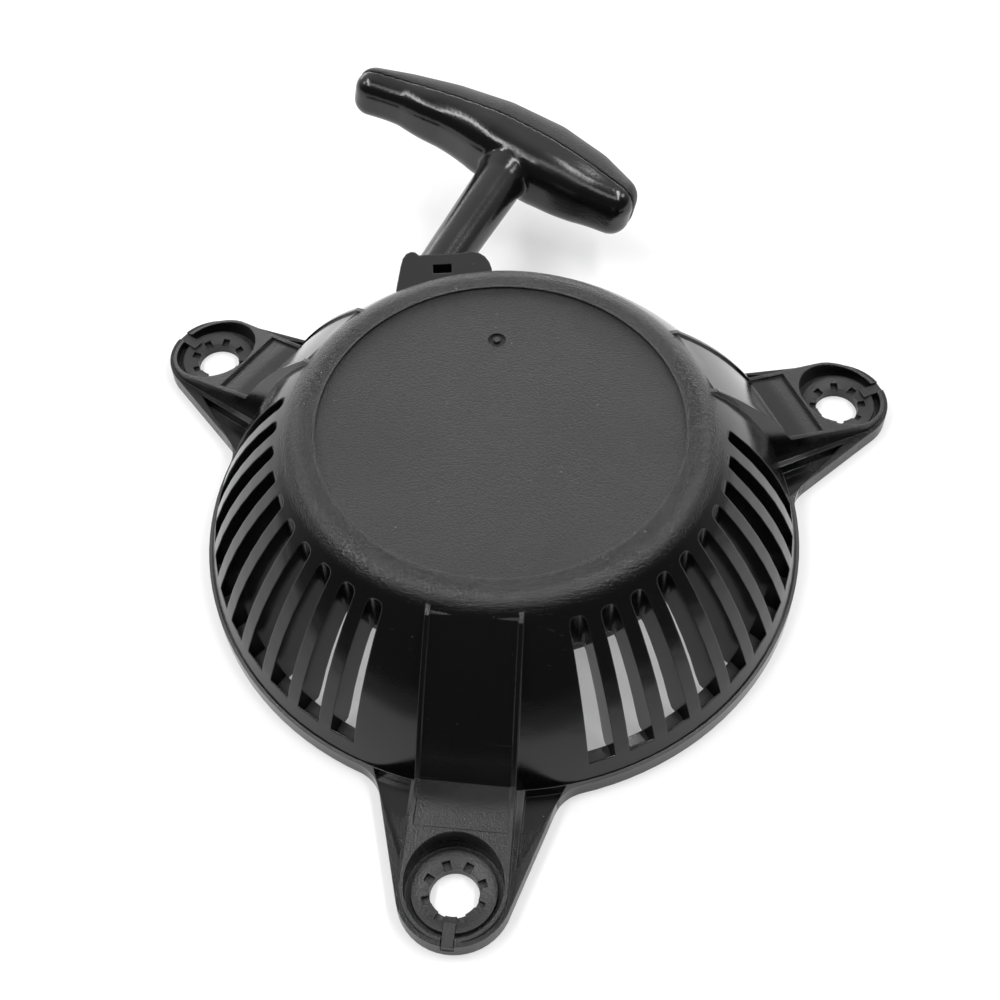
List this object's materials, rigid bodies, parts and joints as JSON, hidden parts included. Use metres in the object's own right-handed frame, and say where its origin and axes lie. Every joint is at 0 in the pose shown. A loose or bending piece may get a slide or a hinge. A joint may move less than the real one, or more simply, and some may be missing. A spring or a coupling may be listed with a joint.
{
  "type": "recoil starter",
  "caption": "Recoil starter with a domed vented cover, lugs with notched bushes, a spring-loaded rope reel with pawls, and a T-handle on a pull rope.",
  "frame": {"origin": "reel axis on the mounting plane, the centre of the circle through the lug holes", "axes": "+Z along the reel axis towards the dome, front lug at -Y, rope leaves at the back, a little to the right"},
  "size_m": [0.2098, 0.2569, 0.0495],
  "materials": {
    "cover_plastic": "satin top, glossy sides",
    "bush_plastic": "matte",
    "guide_plastic": "matte",
    "zinc_steel": "zinc plated",
    "spring_steel": "blued",
    "reel_plastic": "matte",
    "plate_plastic": "matte",
    "pawl_metal": "phosphated",
    "rope": "braided",
    "grip_plastic": "semi gloss",
    "cap_plastic": "matte"
  },
  "bodies": {
    "housing": {"starter_housing": "cover_plastic", "bush_front": "bush_plastic", "bush_right": "bush_plastic", "bush_left": "bush_plastic", "guide_insert": "guide_plastic", "guide_eyelet": "zinc_steel", "recoil_spring": "spring_steel", "thrust_washer": "zinc_steel", "centre_screw": "zinc_steel"},
    "reel": {"reel": "reel_plastic", "rope_windings": "rope", "reel_rope_knot": "rope", "pawl_spring_a": "spring_steel", "pawl_spring_b": "spring_steel"},
    "guide": {"guide_plate": "plate_plastic", "friction_spring": "spring_steel"},
    "pawl_a": {"pawl_a": "pawl_metal"},
    "pawl_b": {"pawl_b": "pawl_metal"},
    "rope_end": {"rope_lead": "rope"},
    "handle": {"handle_grip": "grip_plastic", "handle_cap": "cap_plastic", "knot_washer": "zinc_steel", "handle_rope_knot": "rope"}
  },
  "joints": [
    {"name": "handle_pull", "type": "slide", "parent": "housing", "child": "rope_end", "axis": [0.3338, 0.9426, 0], "range_m": [0, 0.75], "deforming": ["rope_lead"]},
    {"name": "handle_twist", "type": "hinge", "parent": "rope_end", "child": "handle", "pos_m": [-0.02428, 0.07225, 0.0315], "axis": [0.3338, 0.9426, 0], "continuous": true},
    {"name": "reel_spin", "type": "hinge", "parent": "housing", "child": "reel", "pos_m": [0, 0, 0.03], "axis": [0, 0, 1], "range_deg": [-920, 0], "stiffness_Nm_per_rad": 0.025, "springref_deg": 687.55, "deforming": ["recoil_spring"]},
    {"name": "guide_turn", "type": "hinge", "parent": "reel", "child": "guide", "pos_m": [0, 0, 0.016], "axis": [0, 0, 1], "range_deg": [0, 28], "stiffness_Nm_per_rad": 0.004, "springref_deg": -5.73},
    {"name": "pawl_a_swing", "type": "hinge", "parent": "reel", "child": "pawl_a", "pos_m": [0.02, 0, 0.021], "axis": [0, 0, 1], "range_deg": [0, 22.05]},
    {"name": "pawl_b_swing", "type": "hinge", "parent": "reel", "child": "pawl_b", "pos_m": [-0.02, 0, 0.021], "axis": [0, 0, 1], "range_deg": [0, 22.05]}
  ],
  "couplings": [
    {"joint": "reel_spin", "follows": "handle_pull", "rad_per_m": -21.277},
    {"joint": "pawl_a_swing", "follows": "guide_turn", "ratio": 0.78571},
    {"joint": "pawl_b_swing", "follows": "guide_turn", "ratio": 0.78571}
  ]
}
